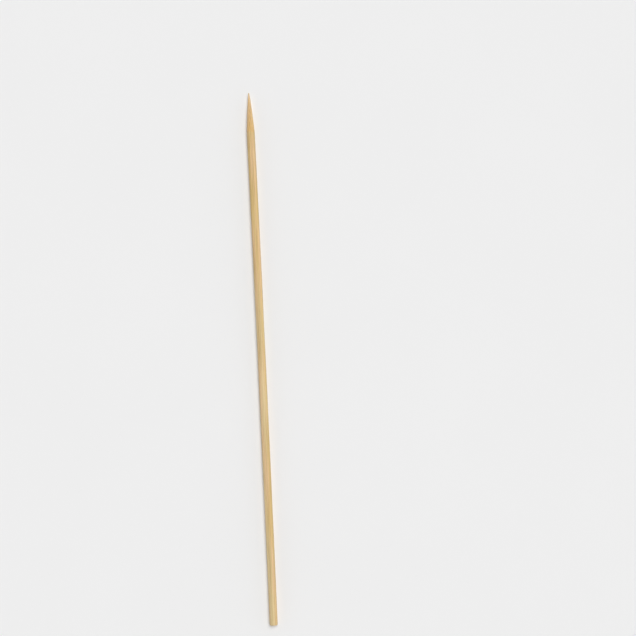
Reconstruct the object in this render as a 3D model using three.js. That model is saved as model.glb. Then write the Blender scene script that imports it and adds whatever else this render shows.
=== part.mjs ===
// A bamboo skewer: a thin round stick, 200 mm long and 3 mm across, ground to a point at one end and sawn
// square at the other. It is a single piece. It lies along Y with its point towards +Y, on one of its two
// narrow flats, with +Z up. Units are millimetres, and the origin is under its middle, on the surface that
// it lies on.
//
// Its form is what its making leaves. A planed strip of bamboo runs between an upper and a lower knife, each
// with a half-round edge, and comes out as a round rod. The strip is a little thinner than the knives'
// circle, so its two planed faces stay as narrow flats. The knives don't quite meet, and the web between
// them breaks off in a fine seam down each side. The rod dries with a slight bow, one end is ground to a
// point, and tumbling breaks the sharp edges.

import * as THREE from "three";

// The rod
const LENGTH = 200; // from the sawn end to the tip
const KNIFE_RADIUS = 1.5; // of the half-round edge that cuts each half of the rod
const STRIP_THICKNESS = 2.9; // between the planed faces, which are left as the flats
const KNIFE_GAP = 0.06; // between the edges of the two knives, at each side of the rod
const KNIFE_SHIFT = 0.03; // sideways, from the lower knife to the upper one
const BOW = 0.2; // sideways, of the rod's middle from the line between its ends

// Its two ends
const POINT_LENGTH = 15; // from the shoulder to the tip
const POINT_BULGE = 0.1; // how far the ground flank stands proud of a straight cone, halfway along
const TIP_RADIUS = 0.2; // left blunt by the tumbling
const EDGE_RADIUS = 0.15; // round the sawn face, where the tumbling breaks its edge

// How finely the curved faces are divided
const ARC_STEPS = 9; // from each seam to the edge of a flat
const FLAT_STEPS = 4; // across each flat, because it becomes part of the round point
const SHANK_STEPS = 20; // along the bowed rod
const FLANK_STEPS = 14; // from the shoulder to the tip
const ROUND_STEPS = 5; // over the tip, and round the sawn face

const HALF_LENGTH = LENGTH / 2;
const HALF_THICKNESS = STRIP_THICKNESS / 2;
const OUTER_RADIUS = Math.hypot(KNIFE_RADIUS + KNIFE_SHIFT / 2, KNIFE_GAP / 2); // from the axis to a seam

const bamboo = new THREE.MeshStandardMaterial({
  color: 0xd5bb8a,
  roughness: 0.55,
  metalness: 0,
});

// The angles, round the upper knife's centre, of the points that divide its half of the rod.
function knifeAngles() {
  const seam = Math.asin(KNIFE_GAP / 2 / KNIFE_RADIUS);
  const flat = Math.asin(Math.min(1, HALF_THICKNESS / KNIFE_RADIUS));
  const angles = [];
  for (let i = 0; i < ARC_STEPS; i++) {
    angles.push(THREE.MathUtils.lerp(seam, flat, i / ARC_STEPS));
  }
  for (let i = 0; i < FLAT_STEPS; i++) {
    angles.push(THREE.MathUtils.lerp(flat, Math.PI - flat, i / FLAT_STEPS));
  }
  for (let i = 0; i <= ARC_STEPS; i++) {
    angles.push(THREE.MathUtils.lerp(Math.PI - flat, Math.PI - seam, i / ARC_STEPS));
  }
  return angles;
}

// The rod's section in X and Z, as places measured from its axis. The upper half is the knife's circle cut
// off at the flat, and the lower half is the same shape turned half round.
function rodSection() {
  const upper = knifeAngles().map((angle) => {
    const radius = Math.min(KNIFE_RADIUS, HALF_THICKNESS / Math.sin(angle));
    return new THREE.Vector2(KNIFE_SHIFT / 2 + radius * Math.cos(angle), radius * Math.sin(angle));
  });
  const lower = upper.map((place) => place.clone().negate());
  return [...upper, ...lower];
}

// How far back from the tip the ground flank has a given radius. A straight cone would be in proportion,
// and the bulge brings each radius nearer to the tip.
function flankDistance(radius) {
  const rise = OUTER_RADIUS - TIP_RADIUS;
  const share = (radius - TIP_RADIUS) / rise;
  const fullness = (4 * POINT_BULGE) / rise;
  return TIP_RADIUS + (POINT_LENGTH - TIP_RADIUS) * share * (1 - fullness * (1 - share));
}

// The line that the surface follows from the sawn face to the tip, at a given reach from the axis, as
// radius and height. It turns the rounded edge, runs along the rod to where the point's flank meets it,
// and then goes down the flank and over the nose.
function meridian(reach) {
  const line = [];
  for (let i = 0; i < ROUND_STEPS; i++) {
    const turn = (i / ROUND_STEPS) * (Math.PI / 2);
    const radius = reach - EDGE_RADIUS * (1 - Math.sin(turn));
    line.push(new THREE.Vector2(radius, -HALF_LENGTH + EDGE_RADIUS * (1 - Math.cos(turn))));
  }
  const shankStart = -HALF_LENGTH + EDGE_RADIUS;
  const shoulder = HALF_LENGTH - flankDistance(reach);
  for (let i = 0; i < SHANK_STEPS; i++) {
    line.push(new THREE.Vector2(reach, THREE.MathUtils.lerp(shankStart, shoulder, i / SHANK_STEPS)));
  }
  for (let i = 0; i < FLANK_STEPS; i++) {
    const radius = THREE.MathUtils.lerp(reach, TIP_RADIUS, i / FLANK_STEPS);
    line.push(new THREE.Vector2(radius, HALF_LENGTH - flankDistance(radius)));
  }
  for (let i = 0; i < ROUND_STEPS; i++) {
    const turn = (i / ROUND_STEPS) * (Math.PI / 2);
    const height = HALF_LENGTH - TIP_RADIUS * (1 - Math.sin(turn));
    line.push(new THREE.Vector2(TIP_RADIUS * Math.cos(turn), height));
  }
  return line;
}

// How far the bow carries the rod's axis sideways at a given height: a parabola, half to each side.
function bowAt(height) {
  return BOW * (0.5 - (height / HALF_LENGTH) ** 2);
}

// A place on the finished rod, from its direction round the axis, its radius and its height on the rod.
function onRod(direction, radius, height) {
  return [direction.x * radius + bowAt(height), height, direction.y * radius + HALF_THICKNESS];
}

// The skewer: one meridian for each point of the section, joined to the next all the way round, and
// closed at the middle of the sawn face and at the tip.
function skewerGeometry() {
  const axis = new THREE.Vector2(0, 0);
  const positions = [...onRod(axis, 0, -HALF_LENGTH), ...onRod(axis, 0, HALF_LENGTH)];
  const faceMiddle = 0;
  const tip = 1;
  const section = rodSection();
  for (const place of section) {
    const direction = place.clone().normalize();
    for (const { x: radius, y: height } of meridian(place.length())) {
      positions.push(...onRod(direction, radius, height));
    }
  }

  const rows = (positions.length / 3 - 2) / section.length;
  const triangles = [];
  for (let i = 0; i < section.length; i++) {
    const here = 2 + i * rows;
    const next = 2 + ((i + 1) % section.length) * rows;
    triangles.push(faceMiddle, here, next);
    for (let row = 0; row < rows - 1; row++) {
      triangles.push(here + row, here + row + 1, next + row);
      triangles.push(next + row, here + row + 1, next + row + 1);
    }
    triangles.push(tip, next + rows - 1, here + rows - 1);
  }

  const geometry = new THREE.BufferGeometry();
  geometry.setAttribute("position", new THREE.Float32BufferAttribute(positions, 3));
  geometry.setIndex(triangles);
  geometry.computeVertexNormals();
  return geometry;
}

const skewer = new THREE.Mesh(skewerGeometry(), bamboo);
skewer.name = "skewer";

const model = new THREE.Group();
model.add(skewer);
export default model;
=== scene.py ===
"""The looks of a bamboo skewer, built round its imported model.

The skewer is one surface, laid out as a grid: columns run from the middle of the sawn face, along the
stick and over the tip, and rows run round it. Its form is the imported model's. On that form lies what the
making leaves in bamboo: strands that stand a little proud of the softer tissue, ripples from the knives,
torn grooves with fibres still lifted at their ends, rings from the grinding wheel, and the marks of the saw.

Lengths are in millimetres until a mesh is made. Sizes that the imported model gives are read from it.
"""

import logging
import math
from dataclasses import dataclass
from enum import Enum
from typing import Mapping, Sequence, Union

import bpy
import numpy as np
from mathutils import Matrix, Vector


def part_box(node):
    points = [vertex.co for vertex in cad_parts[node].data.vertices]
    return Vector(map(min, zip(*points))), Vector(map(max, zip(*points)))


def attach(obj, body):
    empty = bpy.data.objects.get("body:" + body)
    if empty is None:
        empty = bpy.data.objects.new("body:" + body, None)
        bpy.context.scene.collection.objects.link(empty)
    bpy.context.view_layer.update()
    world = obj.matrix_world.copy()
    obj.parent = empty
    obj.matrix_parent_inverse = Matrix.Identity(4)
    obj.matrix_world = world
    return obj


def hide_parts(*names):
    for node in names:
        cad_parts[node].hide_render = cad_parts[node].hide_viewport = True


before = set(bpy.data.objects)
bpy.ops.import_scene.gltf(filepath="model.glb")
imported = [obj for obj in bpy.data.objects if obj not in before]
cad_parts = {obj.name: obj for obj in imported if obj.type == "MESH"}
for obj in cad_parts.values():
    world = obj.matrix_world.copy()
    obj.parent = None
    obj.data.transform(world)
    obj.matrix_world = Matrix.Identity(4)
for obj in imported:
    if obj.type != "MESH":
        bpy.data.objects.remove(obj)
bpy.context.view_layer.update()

LOG = logging.getLogger("skewer")
MM = 0.001
FULL_TURN = 2.0 * math.pi
TINY = 1e-6
RANDOM_KNOTS = 1024

Array = np.ndarray
Span = tuple[float, float]
Spans = tuple[Span, Span, Span]
Colour = tuple[float, float, float]
Value = Union[float, Sequence[float], "Wire"]
Shaded = Union[bpy.types.Material, bpy.types.World]


class Cut(Enum):
    """The tool that made a stretch of the surface. The value is its material's place on the mesh."""

    KNIFE = 0
    WHEEL = 1
    SAW = 2


class Grain(Enum):
    """A kind of unevenness in bamboo, and the noise that draws it.

    A value is how many units of the noise a millimetre holds across the stick, how many it holds along the
    stick, and the noise's detail.
    """

    DRIFT = (0.25, 0.02, 1.0)
    TINT = (0.7, 0.03, 2.0)
    BANDS = (1.1, 0.013, 2.0)
    LINES = (6.5, 0.06, 3.0)
    CELLS = (13.0, 2.4, 1.0)
    HAIRS = (15.0, 0.22, 3.0)
    DASHES = (8.0, 0.13, 1.0)
    RINGS = (2.6, 17.0, 3.0)


def smooth_step(share: Array) -> Array:
    """Returns 0 below 0 and 1 above 1, with an S-shaped rise between, as 3t^2 - 2t^3."""
    t = np.clip(share, 0.0, 1.0)
    return t * t * (3.0 - 2.0 * t)


def smooth_rise(value: Array, span: Span) -> Array:
    """Returns 0 below a span and 1 above it, with an S-shaped rise over it."""
    low, high = span
    return smooth_step((value - low) / (high - low))


def random_line(seed: int, place: Array) -> Array:
    """Gives a random share for every whole number, from 0 to 1, with straight lines between them."""
    knots = np.random.default_rng(seed).random(RANDOM_KNOTS)
    return np.interp(np.mod(place, RANDOM_KNOTS - 1), np.arange(RANDOM_KNOTS), knots)


def bell(angle: Array, middle: float, half_width: float, radius: float) -> Array:
    """Gives a bell curve round the rod, which is 1 at its middle angle and 1/e at its half-width.

    Args:
        angle: the places' angles round the axis.
        middle: the curve's own angle.
        half_width: its half-width, measured along the surface.
        radius: the surface's radius.

    Returns:
        The curve's height at each place.
    """
    turn = np.angle(np.exp(1j * (angle - middle)))
    return np.exp(-((turn * radius / half_width) ** 2))


def linear(*channels: int) -> Colour:
    """Turns a colour as a screen shows it into the linear light of a shader, by the sRGB curve.

    Args:
        channels: the colour's red, green and blue, from 0 to 255.

    Returns:
        The three linear shares, from 0 to 1.
    """
    shares = (channel / 255.0 for channel in channels)
    return tuple(s / 12.92 if s <= 0.04045 else ((s + 0.055) / 1.055) ** 2.4 for s in shares)


@dataclass(frozen=True)
class RodForm:
    """The skewer's true form: a rod from two half-round knives, sawn at one end and ground at the other.

    Its axis runs along Y. The section's upper half is a half round cut off at a flat, and the lower half is
    the same shape turned half round.
    """

    length: float
    thickness: float
    knife_radius: float = 1.5
    knife_gap: float = 0.06
    knife_shift: float = 0.03
    bow: float = 0.2
    point_length: float = 15.0
    point_bulge: float = 0.1
    tip_radius: float = 0.2
    edge_radius: float = 0.15
    flank_samples: int = 200

    @property
    def half_length(self) -> float:
        """Half the length, which is the height of the tip on the rod."""
        return self.length / 2.0

    @property
    def outer_radius(self) -> float:
        """The rod's greatest reach from its axis, at its seams."""
        return math.hypot(self.knife_radius + self.knife_shift / 2.0, self.knife_gap / 2.0)

    def section(self, arc_steps: int, flat_steps: int, seam_steps: int) -> tuple[Array, Array]:
        """Lays out the section's outline, with a point at every corner.

        At an angle round its knife's centre a point lies at the knife's radius, or on the flat where that is
        nearer. A seam's points lie in a straight line between the two halves.

        Args:
            arc_steps: the steps from each seam to the edge of a flat.
            flat_steps: the steps across each flat.
            seam_steps: the steps across each seam.

        Returns:
            The points' X and Z from the axis, anticlockwise as seen from the sawn end.
        """
        half = self.thickness / 2.0
        seam = math.asin(self.knife_gap / 2.0 / self.knife_radius)
        flat = math.asin(min(1.0, half / self.knife_radius))
        rise = np.linspace(seam, flat, arc_steps, endpoint=False)
        across = np.linspace(flat, math.pi - flat, flat_steps, endpoint=False)
        fall = np.linspace(math.pi - flat, math.pi - seam, arc_steps + 1)
        angles = np.concatenate([rise, across, fall])
        radius = np.minimum(self.knife_radius, half / np.sin(angles))
        upper = np.stack([self.knife_shift / 2.0 + radius * np.cos(angles), radius * np.sin(angles)])
        share = np.arange(1, seam_steps) / seam_steps
        seam_line = upper[:, -1:] * (1.0 - share) - upper[:, :1] * share
        half_outline = np.concatenate([upper, seam_line], axis=1)
        outline = np.concatenate([half_outline, -half_outline], axis=1)
        return outline[0], outline[1]

    def flank_distance(self, radius: Array) -> Array:
        """Gives how far back from the tip the ground flank has a radius.

        With share as the radius's place between the tip's and the rod's, a straight cone has a distance in
        proportion to it, and the bulge takes off a part that is greatest halfway.

        Args:
            radius: the radii.

        Returns:
            The distances from the tip.
        """
        rise = self.outer_radius - self.tip_radius
        share = (radius - self.tip_radius) / rise
        fullness = 4.0 * self.point_bulge / rise
        length = self.point_length - self.tip_radius
        return self.tip_radius + length * share * (1.0 - fullness * (1.0 - share))

    def surface_radius(self, angle: Array, height: Array) -> Array:
        """Gives the surface's radius, leaving out the small shift between the knives.

        It is the least of three: the knives' radius, the reach to a flat, and the flank's radius, which is
        looked up from the flank's distances.

        Args:
            angle: the places' angles round the axis.
            height: the places' heights on it.

        Returns:
            The radius at each place.
        """
        radii = np.linspace(self.tip_radius, self.outer_radius, self.flank_samples)
        flank = np.interp(self.half_length - height, self.flank_distance(radii), radii)
        flat = self.thickness / 2.0 / np.maximum(np.abs(np.sin(angle)), TINY)
        return np.minimum(np.minimum(self.knife_radius, flat), flank)

    def bow_at(self, height: Array) -> Array:
        """Gives the axis's sideways place at a height: a parabola, half to each side."""
        return self.bow * (0.5 - (height / self.half_length) ** 2)


@dataclass(frozen=True)
class Tissue:
    """Bamboo as strands of dark fibre that run along the stick through softer, paler tissue.

    Strands stand on a jittered triangular grid across the stick. They are finer and closer towards the side
    that lay under the bark, they lean a little from the stick's axis, and each wanders as a slow wave.
    """

    seed: int = 29
    spacing: float = 0.42
    spread: float = 2.3
    jitter: float = 0.4
    bark_crowding: float = 0.35
    thin_core: float = 0.07
    thick_core: float = 0.135
    core_change: float = 0.25
    strengths: Span = (0.45, 1.0)
    paces: Span = (0.7, 1.5)
    lean_x: float = 0.0035
    lean_z: float = -0.0045
    wander: float = 0.05
    wander_length: float = 85.0

    def strands(self) -> dict[str, Array]:
        """Draws every strand's place, core radius and wave.

        Returns:
            One array for each property, with an entry for each strand.
        """
        rng = np.random.default_rng(self.seed)
        count = int(2.0 * self.spread / self.spacing) + 2
        column, row = np.meshgrid(np.arange(count), np.arange(count))
        x = (column + 0.5 * (row % 2)) * self.spacing - self.spread
        z = row * self.spacing - self.spread
        x = (x + rng.uniform(-self.jitter, self.jitter, x.shape) * self.spacing).ravel()
        z = (z + rng.uniform(-self.jitter, self.jitter, z.shape) * self.spacing).ravel()
        bark = (z / self.spread + 1.0) / 2.0
        crowding = 1.0 + self.bark_crowding * (0.5 - bark)
        core = self.thick_core + (self.thin_core - self.thick_core) * bark
        return {
            "x": x * crowding,
            "z": z * crowding,
            "core": core * rng.uniform(1.0 - self.core_change, 1.0 + self.core_change, core.shape),
            "strength": rng.uniform(*self.strengths, core.shape),
            "phase_x": rng.uniform(0.0, FULL_TURN, core.shape),
            "phase_z": rng.uniform(0.0, FULL_TURN, core.shape),
            "pace": rng.uniform(*self.paces, core.shape),
        }

    def exposure(self, x: Array, y: Array, z: Array) -> Array:
        """Gives how much of a strand shows at each place.

        It is the greatest, over all the strands, of the strand's strength times a bell curve of the distance
        from its middle, which falls to 1/e at its core radius.

        Args:
            x: the places' X from the stick's axis.
            y: the places' heights along it.
            z: the places' Z from it.

        Returns:
            A share from 0 in soft tissue to 1 in the middle of a strong strand.
        """
        found = np.zeros_like(x)
        strands = self.strands()
        for i in range(len(strands["x"])):
            turn = FULL_TURN * strands["pace"][i] * y / self.wander_length
            middle_x = strands["x"][i] + self.lean_x * y + self.wander * np.sin(turn + strands["phase_x"][i])
            middle_z = strands["z"][i] + self.lean_z * y + self.wander * np.sin(turn + strands["phase_z"][i])
            squared = (x - middle_x) ** 2 + (z - middle_z) ** 2
            shown = strands["strength"][i] * np.exp(-squared / strands["core"][i] ** 2)
            np.maximum(found, shown, out=found)
        return found


@dataclass(frozen=True)
class Tears:
    """Long shallow grooves where the knives lifted fibre out of the surface."""

    seed: int = 7
    count: int = 54
    lengths: Span = (4.0, 34.0)
    half_widths: Span = (0.05, 0.16)
    depths: Span = (0.012, 0.045)
    run_in: float = 0.22
    end_clear: float = 1.0

    def draw(self, form: RodForm) -> dict[str, Array]:
        """Draws each groove's angle round the rod, its two ends, its half-width and its depth.

        Args:
            form: the rod that the grooves lie on.

        Returns:
            One array for each property, with an entry for each groove.
        """
        rng = np.random.default_rng(self.seed)
        shortest, longest = self.lengths
        length = shortest + (longest - shortest) * rng.random(self.count) ** 2
        low = -form.half_length + self.end_clear
        high = form.half_length - form.point_length - self.end_clear
        start = rng.uniform(low, high - length)
        return {
            "angle": rng.uniform(0.0, FULL_TURN, self.count),
            "start": start,
            "end": start + length,
            "width": rng.uniform(*self.half_widths, self.count),
            "depth": rng.uniform(*self.depths, self.count),
        }

    def depth_at(self, form: RodForm, angle: Array, height: Array) -> Array:
        """Gives the grooves' depth over the rod.

        Each groove is a bell curve round the rod times a window along it, which rises and falls as an
        S-shaped step over a share of the groove's length. Where grooves cross, the deeper one holds.

        Args:
            form: the rod that the grooves lie on.
            angle: the places' angles round the axis.
            height: the places' heights on it.

        Returns:
            The depth at each place.
        """
        found = np.zeros_like(height)
        tears = self.draw(form)
        for i in range(self.count):
            across = bell(angle, tears["angle"][i], tears["width"][i], form.knife_radius)
            ramp = (tears["end"][i] - tears["start"][i]) * self.run_in
            window = smooth_step((height - tears["start"][i]) / ramp)
            window *= smooth_step((tears["end"][i] - height) / ramp)
            np.maximum(found, tears["depth"][i] * across * window, out=found)
        return found


@dataclass(frozen=True)
class RimChips:
    """Fibre ends that broke out of the sawn end's rim."""

    seed: int = 5
    count: int = 20
    deepest: float = 0.06
    widest: float = 0.12
    longest: float = 1.6
    least_share: float = 0.3

    def depth_at(self, form: RodForm, angle: Array, height: Array) -> Array:
        """Gives the chips' depth: a bell curve round the rod, fading to nothing along it.

        Args:
            form: the rod that the chips are in.
            angle: the places' angles round the axis.
            height: the places' heights on it.

        Returns:
            The depth at each place.
        """
        rng = np.random.default_rng(self.seed)
        found = np.zeros_like(height)
        from_end = height + form.half_length
        for _ in range(self.count):
            middle = rng.uniform(0.0, FULL_TURN)
            shares = rng.uniform(self.least_share, 1.0, 3)
            depth, width, length = shares * (self.deepest, self.widest, self.longest)
            across = bell(angle, middle, width, form.knife_radius)
            np.maximum(found, depth * across * (1.0 - smooth_step(from_end / length)), out=found)
        return found


@dataclass
class SkewerSurface:
    """The whole skewer as one closed surface, with the marks of its making."""

    form: RodForm
    tissue: Tissue = Tissue()
    tears: Tears = Tears()
    chips: RimChips = RimChips()
    seed: int = 17

    # How finely the surface is divided, round the stick and then along it
    arc_steps: int = 44
    flat_steps: int = 14
    seam_steps: int = 2
    face_rows: int = 34
    edge_rows: int = 6
    shank_rows: int = 290
    flank_rows: int = 132
    nose_rows: int = 8

    # How deep the marks are, and how they are spread
    soft_depth: float = 0.018
    strand_edge: float = 0.6
    vessel_depth: float = 0.03
    vessel_core: Span = (0.86, 0.96)
    vessel_pitch: float = 3.0
    vessel_opening: Span = (0.35, 0.55)
    ripple_length: float = 2.6
    ripple_depth: float = 0.005
    lower_knife_phase: float = 2.1
    swell: float = 0.014
    long_swell: float = 11.0  # to a radian of its wave
    short_swell: float = 4.3
    long_share: float = 0.3
    seam_break: float = 0.03
    seam_pitch: float = 0.7
    seam_patch: float = 4.0  # fine steps to a coarse one
    seam_opening: Span = (0.3, 0.6)
    seam_spread: float = 0.035
    seam_coarse: float = 0.65
    seam_torn: float = 0.8
    far_seam: float = 300.5  # steps from one seam's random line to the other's
    ring_depth: float = 0.009
    ring_pitch: float = 0.22
    ring_slant: float = 1.5
    ring_phase: float = 0.6
    ring_fade: float = 0.4
    ring_roll: float = 0.9  # radians to a millimetre
    shoulder_blend: float = 1.5
    saw_depth: float = 0.016
    saw_pitch: float = 0.21
    saw_slant: float = 0.35
    pore_depth: float = 0.035
    pore_core: Span = (0.72, 0.92)
    rim_sharpness: int = 12

    def rows(self, reach: Array) -> tuple[Array, Array, Array]:
        """Carries the section along the skewer.

        Each row gives a radius and a height for every column's reach from the axis: rings on the sawn face,
        a quarter turn round its edge, the rod as far as the flank meets it, the flank by equal steps of
        radius, and a quarter turn over the nose.

        Args:
            reach: the columns' distance from the axis on the rod.

        Returns:
            The radius and the height at each row and column, and each row's Cut value.
        """
        form = self.form
        quarter = math.pi / 2.0
        sawn_face = -form.half_length

        def steps(count: int) -> Array:
            """Gives a column of equal steps, of which the last is 1."""
            return np.arange(1, count + 1)[:, None] / count

        face_radius = (reach - form.edge_radius) * steps(self.face_rows)

        turn = steps(self.edge_rows) * quarter
        edge_radius = reach - form.edge_radius * (1.0 - np.sin(turn))
        edge_height = sawn_face + form.edge_radius * (1.0 - np.cos(turn))

        start = sawn_face + form.edge_radius
        shoulder = form.half_length - form.flank_distance(reach)
        shank_height = start + (shoulder - start) * steps(self.shank_rows)

        flank_radius = reach + (form.tip_radius - reach) * steps(self.flank_rows)
        flank_height = form.half_length - form.flank_distance(flank_radius)

        turn = steps(self.nose_rows)[:-1] * quarter
        nose_radius = form.tip_radius * np.cos(turn)
        nose_height = form.half_length - form.tip_radius * (1.0 - np.sin(turn))

        parts = [
            (face_radius, sawn_face, Cut.SAW.value),
            (edge_radius, edge_height, Cut.KNIFE.value),
            (reach, shank_height, Cut.KNIFE.value),
            (flank_radius, flank_height, Cut.WHEEL.value),
            (nose_radius, nose_height, Cut.WHEEL.value),
        ]
        # Spreads each part's three values over its rows and over every column
        full = [np.broadcast_arrays(*part, reach)[:3] for part in parts]
        radius, height, cuts = (np.concatenate(arrays) for arrays in zip(*full))
        return radius, height, cuts[:, 0]

    def knife_marks(self, angle: Array, height: Array) -> Array:
        """Gives how deep the knives' marks lie below the rod's true form.

        They are a ripple as a cosine wave, whose phase differs between the upper and the lower knife, a slow
        swelling of the rod as two sine waves, the torn grooves, the rim's chips, and the broken seams.

        Args:
            angle: the places' angles round the axis.
            height: the places' heights on it.

        Returns:
            The depth at each place.
        """
        knife = np.where(np.sin(angle) > 0.0, 0.0, self.lower_knife_phase)
        ripple = 0.5 + 0.5 * np.cos(FULL_TURN * height / self.ripple_length + knife)
        long_wave = np.sin(height / self.long_swell + 1.0)
        short_wave = np.sin(height / self.short_swell + 2.0 * np.sin(angle))
        swell = 0.5 + self.long_share * long_wave + (0.5 - self.long_share) * short_wave
        return (
            self.ripple_depth * ripple
            + self.swell * swell
            + self.seam_break * self.broken_seam(angle, height)
            + self.tears.depth_at(self.form, angle, height)
            + self.chips.depth_at(self.form, angle, height)
        )

    def broken_seam(self, angle: Array, height: Array) -> Array:
        """Gives how far the web broke out of the seams, from 0 to 1.

        It is a bell curve round each seam times a random line along it, which has a coarse and a fine part.

        Args:
            angle: the places' angles round the axis.
            height: the places' heights on it.

        Returns:
            The share at each place.
        """
        other_side = np.where(np.cos(angle) > 0.0, 0.0, self.far_seam)
        place = (height + self.form.half_length) / self.seam_pitch + other_side
        coarse = smooth_rise(random_line(self.seed, place / self.seam_patch), self.seam_opening)
        fine = random_line(self.seed + 1, place)
        broken = self.seam_coarse * coarse + (1.0 - self.seam_coarse) * fine
        return np.exp(-((np.sin(angle) / self.seam_spread) ** 2)) * broken

    def wheel_marks(self, angle: Array, height: Array) -> Array:
        """Gives how deep the wheel's rings lie below the ground flank.

        Each ring's depth is drawn at random for its height, and it fades in and out round the point, because
        the stick rolls against the wheel.

        Args:
            angle: the places' angles round the axis.
            height: the places' heights on it.

        Returns:
            The depth at each place.
        """
        slant = self.ring_slant * np.sin(angle + self.ring_phase)
        ring = random_line(self.seed + 2, (self.form.half_length - height) / self.ring_pitch + slant)
        faded = self.ring_fade * (1.0 - np.sin(2.0 * angle + self.ring_roll * height))
        return self.ring_depth * ring * (1.0 - faded)

    def inset(self, angle: Array, radius: Array, height: Array, fibre: Array, ground: Array) -> Array:
        """Gives how far the surface lies inside the true form, away from the sawn face.

        The knives' marks give way to the wheel's where the flank is ground. The soft tissue lies lower than
        the strands, and the middle of a strong strand opens into a groove for stretches of its length. All
        of it but the knives' marks fades out over the tip.

        Args:
            angle: the places' angles round the axis.
            radius: their distances from it.
            height: their heights on it.
            fibre: how much of a strand shows at each place.
            ground: how far each place is onto the ground flank, from 0 to 1.

        Returns:
            The depth at each place.
        """
        at_tip = smooth_step(radius / self.form.tip_radius)
        marks = (1.0 - ground) * self.knife_marks(angle, height)
        marks += ground * self.wheel_marks(angle, height) * at_tip
        opened = smooth_rise(random_line(self.seed + 3, height / self.vessel_pitch), self.vessel_opening)
        vessel = self.vessel_depth * smooth_rise(fibre, self.vessel_core) * opened
        soft = self.soft_depth * (1.0 - smooth_step(fibre / self.strand_edge))
        return marks + (soft + vessel) * at_tip

    def saw_marks(self, across: Array, radius: Array, reach: Array, fibre: Array) -> Array:
        """Gives how far the sawn face's places lie in from its plane.

        They are the saw's strokes as a sine wave across the cut, the pores in the strands, and the soft
        tissue between them. All of it fades out at the rim.

        Args:
            across: the places' distances across the strokes.
            radius: their distances from the axis.
            reach: the columns' distances from the axis on the rod.
            fibre: how much of a strand shows at each place.

        Returns:
            The depth at each place.
        """
        off_edge = smooth_step(radius / (reach - self.form.edge_radius))
        stroke = 0.5 + 0.5 * np.sin(FULL_TURN * across / self.saw_pitch)
        pores = self.pore_depth * smooth_rise(fibre, self.pore_core)
        grit = self.soft_depth * (1.0 - fibre)
        return (self.saw_depth * stroke + pores + grit) * (1.0 - off_edge ** self.rim_sharpness)

    def build(self, finishes: Sequence[bpy.types.Material]) -> bpy.types.Object:
        """Works the surface out and makes its object.

        Each column's direction from the axis times a row's radius less its inset gives X and Z, and the
        row's height plus the saw's depth gives Y. The bow carries X sideways.

        Args:
            finishes: one material for each Cut, in the order of their values.

        Returns:
            The finished object, at the origin.
        """
        form = self.form
        outline_x, outline_z = form.section(self.arc_steps, self.flat_steps, self.seam_steps)
        reach = np.hypot(outline_x, outline_z)
        out_x, out_z = outline_x / reach, outline_z / reach
        radius, height, cuts = self.rows(reach)
        angle = np.broadcast_to(np.arctan2(out_z, out_x), radius.shape)
        sawn = (cuts == Cut.SAW.value)[:, None]
        shoulder = form.half_length - form.flank_distance(reach)
        ground = smooth_step((height - shoulder) / self.shoulder_blend)
        fibre = self.tissue.exposure(out_x * radius, height, out_z * radius)

        shown = radius - np.where(sawn, 0.0, self.inset(angle, radius, height, fibre, ground))
        across = (out_z + self.saw_slant * out_x) * radius
        sink = np.where(sawn, self.saw_marks(across, radius, reach, fibre), 0.0)
        middle = form.thickness / 2.0
        x = out_x * shown + form.bow_at(height)
        places = np.stack([x, height + sink, out_z * shown + middle], axis=-1)
        ends = np.array([
            [form.bow_at(-form.half_length), -form.half_length + self.saw_depth, middle],
            [form.bow_at(form.half_length), form.half_length, middle],
        ])
        piece = closed_grids("skewer_stick", places[None], ends[None], finishes, cuts)

        torn = self.tears.depth_at(form, angle, height) / max(self.tears.depths)
        torn = np.maximum(torn, self.seam_torn * self.broken_seam(angle, height)) * (1.0 - ground)
        store_values(piece.data, "fibre", fibre)
        store_values(piece.data, "torn", np.where(sawn, 0.0, torn))
        return piece


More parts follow.
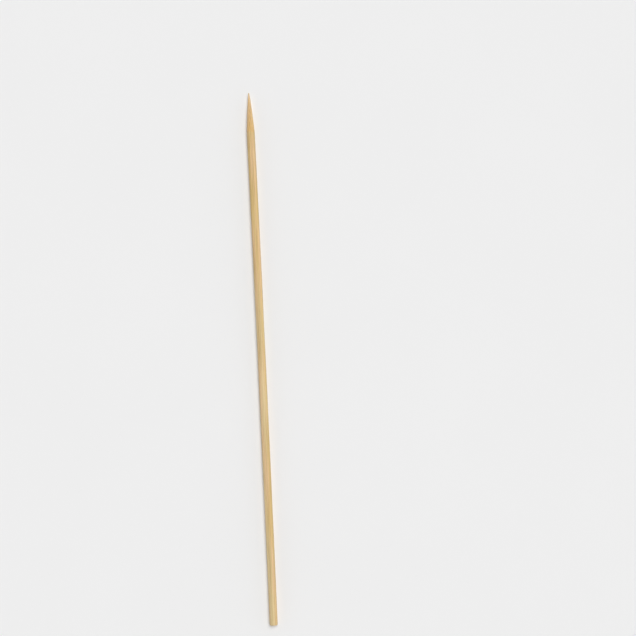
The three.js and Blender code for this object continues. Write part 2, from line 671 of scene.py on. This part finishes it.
@dataclass
class RaisedFibres:
    """Slivers that the cuts lifted, each rooted at one end.

    Some stand at the ends of torn grooves, some run on from the ground flank as it falls away under them,
    and some are left round the sawn end's rim. Each is a thin closed tube that tapers to nothing.

    Sizes that differ between these three kinds are given as a span for each, in that order. The first kind
    has its angle from the groove, its drift from torn_drift, and its rise as a share of the room it has.
    """

    form: RodForm
    tears: Tears
    seed: int = 31
    ground_count: int = 16
    rim_count: int = 9
    tip_clear: float = 2.0
    shoulder_clear: float = 5.0
    rim_roots: Span = (0.75, 0.95)
    torn_root: float = 0.85  # of the way along a groove
    torn_drift: float = 0.4
    angles: Spans = ((0.0, 0.0), (0.0, FULL_TURN), (0.0, FULL_TURN))
    rises: Spans = ((0.35, 0.95), (0.0, 0.06), (0.0, 0.0))
    drifts: Spans = ((0.0, 0.0), (-0.12, 0.12), (-0.05, 0.05))
    lengths: Spans = ((1.2, 4.5), (0.5, 1.4), (-0.72, -0.5))
    half_widths: Spans = ((0.03, 0.07), (0.015, 0.035), (0.02, 0.04))
    half_thicknesses: Spans = ((0.012, 0.025), (0.01, 0.016), (0.012, 0.02))
    room_needed: float = 0.15
    margin: float = 0.04
    sunk: float = 0.05
    paleness: float = 0.8
    sides: int = 6
    steps: int = 12

    def room(self, angle: Array) -> Array:
        """Gives how far a fibre may rise from the rod and stay inside the box round it.

        It is the reach to the box's side or to its top, whichever is less, less the knives' radius and a
        margin.

        Args:
            angle: the places' angles round the axis.

        Returns:
            The distance at each place.
        """
        to_side = self.form.knife_radius / np.maximum(np.abs(np.cos(angle)), TINY)
        to_top = self.form.thickness / 2.0 / np.maximum(np.abs(np.sin(angle)), TINY)
        return np.minimum(to_side, to_top) - self.form.knife_radius - self.margin

    def draw(self) -> dict[str, Array]:
        """Draws each fibre's root, length, rise, sideways drift, half-width and half-thickness.

        Returns:
            One array for each property. A length below 0 runs towards the sawn end.
        """
        rng = np.random.default_rng(self.seed)
        half = self.form.half_length
        tears = self.tears.draw(self.form)
        drift = rng.uniform(-self.torn_drift, self.torn_drift, self.tears.count)
        end_angle = tears["angle"] + drift / self.form.knife_radius
        room = np.minimum(self.room(tears["angle"]), self.room(end_angle))
        free = room > self.room_needed
        torn_root = self.torn_root * tears["end"] + (1.0 - self.torn_root) * tears["start"]
        counts = (np.count_nonzero(free), self.ground_count, self.rim_count)
        last = self.form.point_length - self.shoulder_clear
        ground_root = half - rng.uniform(self.tip_clear, last, self.ground_count)

        def each(spans: Spans) -> list[Array]:
            """Draws a number for every fibre of each kind, from the kind's own span."""
            return [rng.uniform(*span, count) for span, count in zip(spans, counts)]

        angles, rises, drifts = each(self.angles), each(self.rises), each(self.drifts)
        rim_root = -half + rng.uniform(*self.rim_roots, self.rim_count)
        fibres = {
            "angle": [tears["angle"][free], *angles[1:]],
            "root": [torn_root[free], ground_root, rim_root],
            "length": each(self.lengths),
            "rise": [room[free] * rises[0], *rises[1:]],
            "drift": [drift[free], *drifts[1:]],
            "width": each(self.half_widths),
            "thickness": each(self.half_thicknesses),
        }
        return {name: np.concatenate(values) for name, values in fibres.items()}

    def build(self, finish: bpy.types.Material) -> bpy.types.Object:
        """Works the fibres out and makes their object.

        With s from 0 at the root to 1 at the end, a fibre lies at its root's radius, less what it is sunk,
        plus its rise times s^1.8, and turns round the rod by its drift times s^2. Its section is an ellipse
        whose two sizes shrink as 1 - s^1.5.

        Args:
            finish: the fibres' material.

        Returns:
            The finished object, at the origin.
        """
        form = self.form
        fibres = {name: values[:, None, None] for name, values in self.draw().items()}
        share = (np.arange(self.steps) / self.steps)[None, :, None]
        turn = (np.arange(self.sides) * FULL_TURN / self.sides)[None, None, :]
        rod = form.surface_radius(fibres["angle"], fibres["root"])

        def on_fibre(s: Array, across: Array, outward: Array) -> Array:
            """Places points on the fibres.

            Args:
                s: the points' shares of the fibres' length, from the roots.
                across: their offsets round the rod from the fibres' middles.
                outward: their offsets away from the rod's axis.

            Returns:
                The points' X, Y and Z, along a last axis of their own.
            """
            radius = rod - self.sunk * (1.0 - s) + fibres["rise"] * s ** 1.8 + outward
            angle = fibres["angle"] + (fibres["drift"] * s ** 2 + across) / rod
            height = fibres["root"] + fibres["length"] * s
            x = radius * np.cos(angle) + form.bow_at(height)
            z = radius * np.sin(angle) + form.thickness / 2.0
            return np.stack(np.broadcast_arrays(x, height, z), axis=-1)

        taper = 1.0 - share ** 1.5
        outward_facing = -np.sign(fibres["length"])
        across = fibres["width"] * taper * np.cos(turn) * outward_facing
        places = on_fibre(share, across, fibres["thickness"] * taper * np.sin(turn))
        nothing = np.zeros((1, 1, 1))
        ends = on_fibre(np.array([[[0.0], [1.0]]]), nothing, nothing)[:, :, 0]
        piece = closed_grids("raised_fibres", places, ends, [finish], np.zeros(self.steps))
        store_values(piece.data, "torn", np.full(places.shape[:3], self.paleness))
        return piece


def add_object(name: str, data: bpy.types.ID) -> bpy.types.Object:
    """Puts new data into the scene as an object, at the origin.

    Args:
        name: the object's name.
        data: its mesh, light or camera data.

    Returns:
        The object.
    """
    added = bpy.data.objects.new(name, data)
    bpy.context.scene.collection.objects.link(added)
    return added


def closed_grids(
    name: str,
    places: Array,
    ends: Array,
    finishes: Sequence[bpy.types.Material],
    cuts: Array,
) -> bpy.types.Object:
    """Makes a mesh of closed grids, each joined round its columns, with a fan at each end.

    Args:
        name: the object's name.
        places: the grids' places in millimetres, by grid, row and column.
        ends: for each grid, the middle of the fan before its first row, and of the one after its last.
        finishes: the mesh's materials.
        cuts: each row's material, which its faces towards the next row take.

    Returns:
        The object, at the origin, with its mesh in metres.
    """
    grids, rows, columns = places.shape[:3]
    index = np.arange(grids * rows * columns).reshape(grids, rows, columns)
    onward = np.roll(index, -1, axis=2)
    quads = np.stack([index[:, :-1], index[:, 1:], onward[:, 1:], onward[:, :-1]], axis=-1)
    poles = np.broadcast_to(index.size + np.arange(2 * grids).reshape(2, grids, 1), (2, grids, columns))
    start_fan = np.stack([poles[0], index[:, 0], onward[:, 0]], axis=-1)
    end_fan = np.stack([poles[1], onward[:, -1], index[:, -1]], axis=-1)
    faces = [part.reshape(-1, part.shape[-1]).tolist() for part in (quads, start_fan, end_fan)]
    points = np.concatenate([places.reshape(-1, 3), ends[:, 0], ends[:, 1]]) * MM
    mesh = bpy.data.meshes.new(name)
    mesh.from_pydata(points.tolist(), [], sum(faces, []))
    for finish in finishes:
        mesh.materials.append(finish)
    walls = np.tile(np.repeat(cuts[1:], columns), grids)
    caps = np.repeat([cuts[0], cuts[-1]], grids * columns)
    mesh.polygons.foreach_set("material_index", np.concatenate([walls, caps]).astype(np.int32))
    mesh.polygons.foreach_set("use_smooth", np.ones(len(mesh.polygons), bool))
    mesh.update()
    return add_object(name, mesh)


def store_values(mesh: bpy.types.Mesh, name: str, values: Array) -> None:
    """Keeps a number for each vertex of a mesh's grids, under a name that a material reads.

    Args:
        mesh: a mesh whose last vertices are the middles of its fans, which get 0.
        name: the number's name.
        values: the numbers, in the order of the grids' places.
    """
    attribute = mesh.attributes.new(name, "FLOAT", "POINT")
    padding = np.zeros(len(mesh.vertices) - values.size)
    attribute.data.foreach_set("value", np.concatenate([values.ravel(), padding]).astype(np.float32))


class Wire:
    """A shader socket that takes part in arithmetic, and adds a Math node for each step."""

    def __init__(self, tree: "ShaderTree", socket: bpy.types.NodeSocket) -> None:
        """Keeps the socket and the tree that it is in."""
        self.tree = tree
        self.socket = socket

    def __add__(self, other: Value) -> "Wire":
        """Adds a number or another socket."""
        return self.tree.maths("ADD", self, other)

    def __sub__(self, other: Value) -> "Wire":
        """Takes a number or another socket away."""
        return self.tree.maths("SUBTRACT", self, other)

    def __rsub__(self, other: Value) -> "Wire":
        """Takes this socket away from a number."""
        return self.tree.maths("SUBTRACT", other, self)

    def __mul__(self, other: Value) -> "Wire":
        """Multiplies by a number or another socket."""
        return self.tree.maths("MULTIPLY", self, other)

    __radd__ = __add__
    __rmul__ = __mul__


class ShaderTree:
    """A material's or a world's nodes, with one method for any node and a few for the ones used most."""

    def __init__(self, owner: Shaded, shader: str = "Principled BSDF") -> None:
        """Gives a new material or world its nodes, which are a shader and an output.

        Args:
            owner: the material or the world.
            shader: the name of the shader that it starts with.
        """
        owner.use_nodes = True
        self.owner = owner
        self.nodes = owner.node_tree.nodes
        self.links = owner.node_tree.links
        self.shader = self.nodes[shader]

    def feed(self, socket: bpy.types.NodeSocket, value: Value) -> None:
        """Links a socket to a wire, or sets it to a number or a list of numbers.

        Args:
            socket: the input socket.
            value: the wire, the number or the list.
        """
        if isinstance(value, Wire):
            self.links.new(value.socket, socket)
        else:
            socket.default_value = value

    def node(
        self,
        kind: str,
        settings: Mapping[str, object],
        inputs: Mapping[str, Value],
        output: str,
    ) -> Wire:
        """Adds any node.

        Args:
            kind: the node's type.
            settings: its properties, set first. The name stops stands for a colour ramp's places and shades.
            inputs: the values or wires of its sockets, by the sockets' identifiers.
            output: the identifier of the socket to read.

        Returns:
            That socket.
        """
        added = self.nodes.new(kind)
        for name, setting in settings.items():
            if name == "stops":
                self._set_stops(added.color_ramp, setting)
            else:
                setattr(added, name, setting)
        sockets = {socket.identifier: socket for socket in added.inputs}
        for name, value in inputs.items():
            self.feed(sockets[name], value)
        return Wire(self, next(socket for socket in added.outputs if socket.identifier == output))

    @staticmethod
    def _set_stops(ramp: bpy.types.ColorRamp, stops: Sequence[tuple[float, float]]) -> None:
        """Gives a ramp its grey stops.

        Args:
            ramp: a new ramp, with two stops.
            stops: each stop's place and shade, in rising order of place.
        """
        while len(ramp.elements) < len(stops):
            ramp.elements.new(1.0)
        for element, (place, shade) in zip(ramp.elements, stops):
            element.position = place
            element.color = (shade, shade, shade, 1.0)

    def maths(self, operation: str, left: Value, right: Value) -> Wire:
        """Adds a Math node for one step of arithmetic."""
        inputs = {"Value": left, "Value_001": right}
        return self.node("ShaderNodeMath", {"operation": operation}, inputs, "Value")

    def clamp(self, value: Wire) -> Wire:
        """Keeps a number between 0 and 1."""
        return self.node("ShaderNodeClamp", {}, {"Value": value}, "Result")

    def step(self, value: Wire, span: Span) -> Wire:
        """Gives 0 below a span and 1 above it, with a straight rise over it."""
        settings = {"stops": [(span[0], 0.0), (span[1], 1.0)]}
        return self.node("ShaderNodeValToRGB", settings, {"Fac": value}, "Color")

    def stored(self, name: str) -> Wire:
        """Reads a number that the mesh keeps for each vertex."""
        return self.node("ShaderNodeAttribute", {"attribute_name": name}, {}, "Fac")

    def places(self, stretch: Sequence[float]) -> Wire:
        """Gives Object coordinates in millimetres, each axis times its own factor.

        Args:
            stretch: how many units of the pattern a millimetre holds, along each axis.

        Returns:
            The coordinates to look a pattern up at.
        """
        here = self.node("ShaderNodeTexCoord", {}, {}, "Object")
        factors = [axis / MM for axis in stretch]
        settings = {"operation": "MULTIPLY"}
        return self.node("ShaderNodeVectorMath", settings, {"Vector": here, "Vector_001": factors}, "Vector")

    def noise(self, stretch: Sequence[float], detail: float = 2.0) -> Wire:
        """Gives soft noise about 0.5, of one unit's size in a stretched place."""
        inputs = {"Vector": self.places(stretch), "Scale": 1.0, "Detail": detail, "Roughness": 0.55}
        return self.node("ShaderNodeTexNoise", {}, inputs, "Fac")

    def grain(self, kind: Grain) -> Wire:
        """Gives the noise that draws one kind of unevenness."""
        across, along, detail = kind.value
        return self.noise((across, along, across), detail)

    def mix(self, share: Value, first: Value, second: Value) -> Wire:
        """Mixes two colours."""
        inputs = {"Factor_Float": share, "A_Color": self._opaque(first), "B_Color": self._opaque(second)}
        return self.node("ShaderNodeMix", {"data_type": "RGBA"}, inputs, "Result_Color")

    @staticmethod
    def _opaque(colour: Value) -> Value:
        """Gives a list of three shares its alpha of 1, and leaves a wire alone."""
        return colour if isinstance(colour, Wire) else (*colour, 1.0)

    def shade(self, colour: Value, factor: Wire) -> Wire:
        """Makes a colour lighter or darker by a factor."""
        inputs = {"Vector": colour, "Scale": factor}
        return self.node("ShaderNodeVectorMath", {"operation": "SCALE"}, inputs, "Vector")

    def bump(self, height: Wire, depth: float) -> Wire:
        """Turns a height from 0 to 1 into a normal, for marks of a depth in millimetres."""
        inputs = {"Height": height, "Distance": depth * MM, "Strength": 1.0}
        return self.node("ShaderNodeBump", {}, inputs, "Normal")

    def finish(self, **inputs: Value) -> Shaded:
        """Feeds the shader's sockets.

        Args:
            inputs: values or wires by socket name, with underscores for spaces.

        Returns:
            The finished material or world.
        """
        for name, value in inputs.items():
            socket = name.replace("_", " ").title().replace("Ior", "IOR")
            self.feed(self.shader.inputs[socket], value)
        return self.owner


@dataclass(frozen=True)
class BambooFinish:
    """The look of cut bamboo: pale soft tissue, darker strands in it, and the grain of the cut.

    A colour comes in over a span of a noise or a stored number, up to its share. A swing is the difference
    in light or in roughness between the two ends of a noise.
    """

    name: str
    straw: Colour = linear(220, 198, 149)
    honey: Colour = linear(213, 183, 124)
    blush: Colour = linear(226, 190, 147)
    strand: Colour = linear(174, 134, 80)
    vessel: Colour = linear(133, 92, 49)
    torn: Colour = linear(229, 206, 162)
    honey_span: Span = (0.4, 0.6)
    blush_span: Span = (0.47, 0.6)
    strand_span: Span = (0.15, 0.55)
    vessel_span: Span = (0.82, 0.93)
    dash_span: Span = (0.71, 0.76)
    blush_share: float = 0.75
    strand_share: float = 0.62
    vessel_share: float = 0.5
    dash_share: float = 0.45
    torn_share: float = 0.6
    band_swing: float = 0.48
    line_swing: float = 0.6
    cell_swing: float = 0.16
    brightness: float = 0.97
    roughness: float = 0.5
    rough_swing: float = 0.16
    torn_roughness: float = 0.12
    strand_polish: float = 0.06
    gloss: float = 0.3
    cross_grain: float = 0.0
    grain_bump: float = 0.035

    def build(self) -> bpy.types.Material:
        """Makes the material.

        The colour drifts slowly along the stick between straw, honey and a faint blush. It goes to the
        strand's colour where a strand shows, to the vessels' in the middle of strong strands and in rare
        thin dashes, and to the torn colour in grooves. Broad bands, fine lines and the cells of the soft
        tissue, all drawn out along the stick, make it lighter and darker.

        Returns:
            The material.
        """
        tree = ShaderTree(bpy.data.materials.new(self.name))
        fibre, torn = tree.stored("fibre"), tree.stored("torn")
        drift, tint, bands, lines, cells, hairs, dashes, rings = map(tree.grain, Grain)

        colour = tree.mix(tree.step(drift, self.honey_span), self.straw, self.honey)
        colour = tree.mix(tree.step(tint, self.blush_span) * self.blush_share, colour, self.blush)
        colour = tree.mix(tree.step(fibre, self.strand_span) * self.strand_share, colour, self.strand)
        dark = tree.step(fibre, self.vessel_span) * self.vessel_share
        dark = dark + tree.step(dashes, self.dash_span) * self.dash_share
        colour = tree.mix(tree.clamp(dark), colour, self.vessel)
        colour = tree.mix(torn * self.torn_share, colour, self.torn)
        broad, fine, small = bands - 0.5, lines - 0.5, cells - 0.5
        light = broad * self.band_swing + fine * self.line_swing + small * self.cell_swing + 1.0
        colour = tree.shade(colour, light * self.brightness)

        roughness = fine * self.rough_swing + self.roughness
        roughness = roughness + torn * self.torn_roughness - fibre * self.strand_polish
        relief = hairs * (1.0 - self.cross_grain) + rings * self.cross_grain
        return tree.finish(
            base_color=colour,
            roughness=tree.clamp(roughness),
            specular_ior_level=self.gloss,
            normal=tree.bump(relief, self.grain_bump),
        )


@dataclass(frozen=True)
class SawnFinish:
    """The look of the sawn end: strand ends as brown dots with dark pores, in pale, rough tissue."""

    name: str = "bamboo_sawn_end"
    tissue: Colour = linear(213, 186, 138)
    dot: Colour = linear(165, 124, 75)
    pore: Colour = linear(98, 67, 38)
    dot_span: Span = (0.2, 0.5)
    dot_share: float = 0.85
    pore_span: Span = (0.3, 0.6)
    pore_wall: Span = (0.2, 0.42)
    pore_share: float = 0.75
    grit_scale: float = 14.0
    cell_scale: float = 11.0
    grit_swing: float = 0.3
    cell_swing: float = 0.12
    least_light: float = 0.8
    least_roughness: float = 0.65
    rough_swing: float = 0.2
    grit_bump: float = 0.03

    def build(self) -> bpy.types.Material:
        """Makes the material.

        The colour goes from the tissue's to the dots' by the share of a strand that shows, and to the
        pores' in the middle of some cells inside the dots. Fine noise with no direction roughens it.

        Returns:
            The material.
        """
        tree = ShaderTree(bpy.data.materials.new(self.name))
        fibre = tree.stored("fibre")
        grit = tree.noise((self.grit_scale,) * 3, detail=3.0)
        cell = {"Vector": tree.places((self.cell_scale,) * 3), "Scale": 1.0}
        cells = tree.node("ShaderNodeTexVoronoi", {}, cell, "Distance")
        colour = tree.mix(tree.step(fibre, self.dot_span) * self.dot_share, self.tissue, self.dot)
        opened = (1.0 - tree.step(cells, self.pore_wall)) * tree.step(fibre, self.pore_span)
        colour = tree.mix(opened * self.pore_share, colour, self.pore)
        colour = tree.shade(colour, grit * self.grit_swing + cells * self.cell_swing + self.least_light)
        return tree.finish(
            base_color=colour,
            roughness=tree.clamp(grit * self.rough_swing + self.least_roughness),
            normal=tree.bump(grit, self.grit_bump),
        )


@dataclass(frozen=True)
class FloorFinish:
    """A plain pale floor, with a trace of mottling."""

    name: str = "pale_floor"
    colour: Colour = linear(239, 239, 239)
    mottle_scale: float = 0.02
    mottle_swing: float = 0.02
    roughness: float = 0.85

    def build(self) -> bpy.types.Material:
        """Makes the material: the floor's colour, lighter and darker by a hundredth.

        Returns:
            The material.
        """
        tree = ShaderTree(bpy.data.materials.new(self.name))
        light = (tree.noise((self.mottle_scale,) * 3) - 0.5) * self.mottle_swing + 1.0
        return tree.finish(base_color=tree.shade(self.colour, light), roughness=self.roughness)


@dataclass(frozen=True)
class Viewpoint:
    """A camera that looks straight down, placed so that the skewer lies where the photograph shows it."""

    tip_pixel: tuple[float, float] = (249.0, 93.0)
    sawn_pixel: tuple[float, float] = (274.0, 625.0)
    picture_side: int = 636
    lens: float = 85.0
    sensor: float = 36.0

    def place(self, form: RodForm) -> bpy.types.Object:
        """Makes the camera.

        The two ends' pixels give the turn, the scale and the middle: the picture's side in millimetres is
        its pixels over the pixels of a millimetre, and the height is that side times lens over sensor.

        Args:
            form: the rod whose length the pixels span.

        Returns:
            The camera's object.
        """
        tip, sawn = Vector(self.tip_pixel), Vector(self.sawn_pixel)
        span = sawn - tip
        scale = span.length / form.length
        turn = -math.atan2(span.x, span.y)
        right = Vector((math.cos(turn), math.sin(turn), 0.0))
        up = Vector((-math.sin(turn), math.cos(turn), 0.0))
        centre = Vector((self.picture_side / 2.0, self.picture_side / 2.0))
        offset = (centre - (tip + sawn) / 2.0) / scale
        height = self.picture_side / scale * self.lens / self.sensor + form.thickness / 2.0
        data = bpy.data.cameras.new("camera")
        data.lens = self.lens
        data.sensor_width = self.sensor
        data.clip_start = MM
        camera = add_object("camera", data)
        camera.location = (right * offset.x - up * offset.y + Vector((0.0, 0.0, height))) * MM
        camera.rotation_euler = (0.0, 0.0, turn)
        bpy.context.scene.camera = camera
        return camera


@dataclass(frozen=True)
class SoftLight:
    """A large studio light, so far off that it lights the whole floor evenly."""

    name: str
    towards: tuple[float, float, float]
    degrees_across: float
    strength: float

    def build(self) -> bpy.types.Object:
        """Makes the light and turns its face from where it stands to the origin.

        Returns:
            The light's object.
        """
        data = bpy.data.lights.new(self.name, "SUN")
        data.angle = math.radians(self.degrees_across)
        data.energy = self.strength
        light = add_object(self.name, data)
        light.location = Vector(self.towards)
        light.rotation_euler = (-Vector(self.towards)).to_track_quat("-Z", "Y").to_euler()
        return light


@dataclass
class Studio:
    """The floor, the key light, and a room with pale walls and a dim ceiling.

    The walls' and the ceiling's light is what a white face there would send back, and the wall fades into
    the ceiling between two heights of the direction looked in, from 0 at the horizon to 1 overhead.
    """

    floor_side: float = 18000.0
    wall_light: float = 0.84
    ceiling_light: float = 0.05
    wall_top: float = 0.4
    ceiling_edge: float = 0.6
    key: SoftLight = SoftLight("key_light", towards=(0.22, 0.32, 1.0), degrees_across=42.0, strength=2.5)

    def build(self) -> None:
        """Makes the floor, the key light and the room."""
        self.lay_floor()
        self.key.build()
        self.light_room()
        bpy.context.scene.view_settings.view_transform = "Standard"

    def lay_floor(self) -> None:
        """Makes the floor, a plain square under the skewer."""
        half = self.floor_side / 2.0 * MM
        mesh = bpy.data.meshes.new("floor")
        outline = [(-half, -half, 0.0), (half, -half, 0.0), (half, half, 0.0), (-half, half, 0.0)]
        mesh.from_pydata(outline, [], [(0, 1, 2, 3)])
        mesh.materials.append(FloorFinish().build())
        floor = add_object("floor", mesh)

    def light_room(self) -> None:
        """Makes the room's light, from the height of the direction looked in."""
        tree = ShaderTree(bpy.data.worlds.new("room"), "Background")
        direction = tree.node("ShaderNodeTexCoord", {}, {}, "Generated")
        fade = {
            "Value": tree.node("ShaderNodeSeparateXYZ", {}, {"Vector": direction}, "Z"),
            "From Min": self.wall_top,
            "From Max": self.ceiling_edge,
            "To Min": self.wall_light,
            "To Max": self.ceiling_light,
        }
        light = tree.node("ShaderNodeMapRange", {}, fade, "Result")
        bpy.context.scene.world = tree.finish(color=(1.0, 1.0, 1.0, 1.0), strength=light)


def main() -> None:
    """Builds the skewer's looks, the studio and the camera, and reports each piece."""
    logging.basicConfig(level=logging.INFO, format="%(message)s")
    low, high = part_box("skewer")
    form = RodForm(length=(high.y - low.y) / MM, thickness=(high.z - low.z) / MM)
    finishes = [
        BambooFinish("bamboo_knife_cut").build(),
        BambooFinish(
            "bamboo_ground",
            straw=linear(225, 194, 137),
            honey=linear(218, 179, 115),
            strand_share=0.55,
            roughness=0.6,
            cross_grain=0.5,
        ).build(),
        SawnFinish().build(),
    ]
    stick = SkewerSurface(form).build(finishes)
    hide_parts("skewer")
    slivers = RaisedFibres(form, Tears()).build(finishes[Cut.WHEEL.value])
    for piece in (stick, slivers):
        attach(piece, "root")
        LOG.info("%s: %d faces", piece.name, len(piece.data.polygons))

    Studio().build()
    Viewpoint().place(form)


if __name__ == "__main__":
    main()
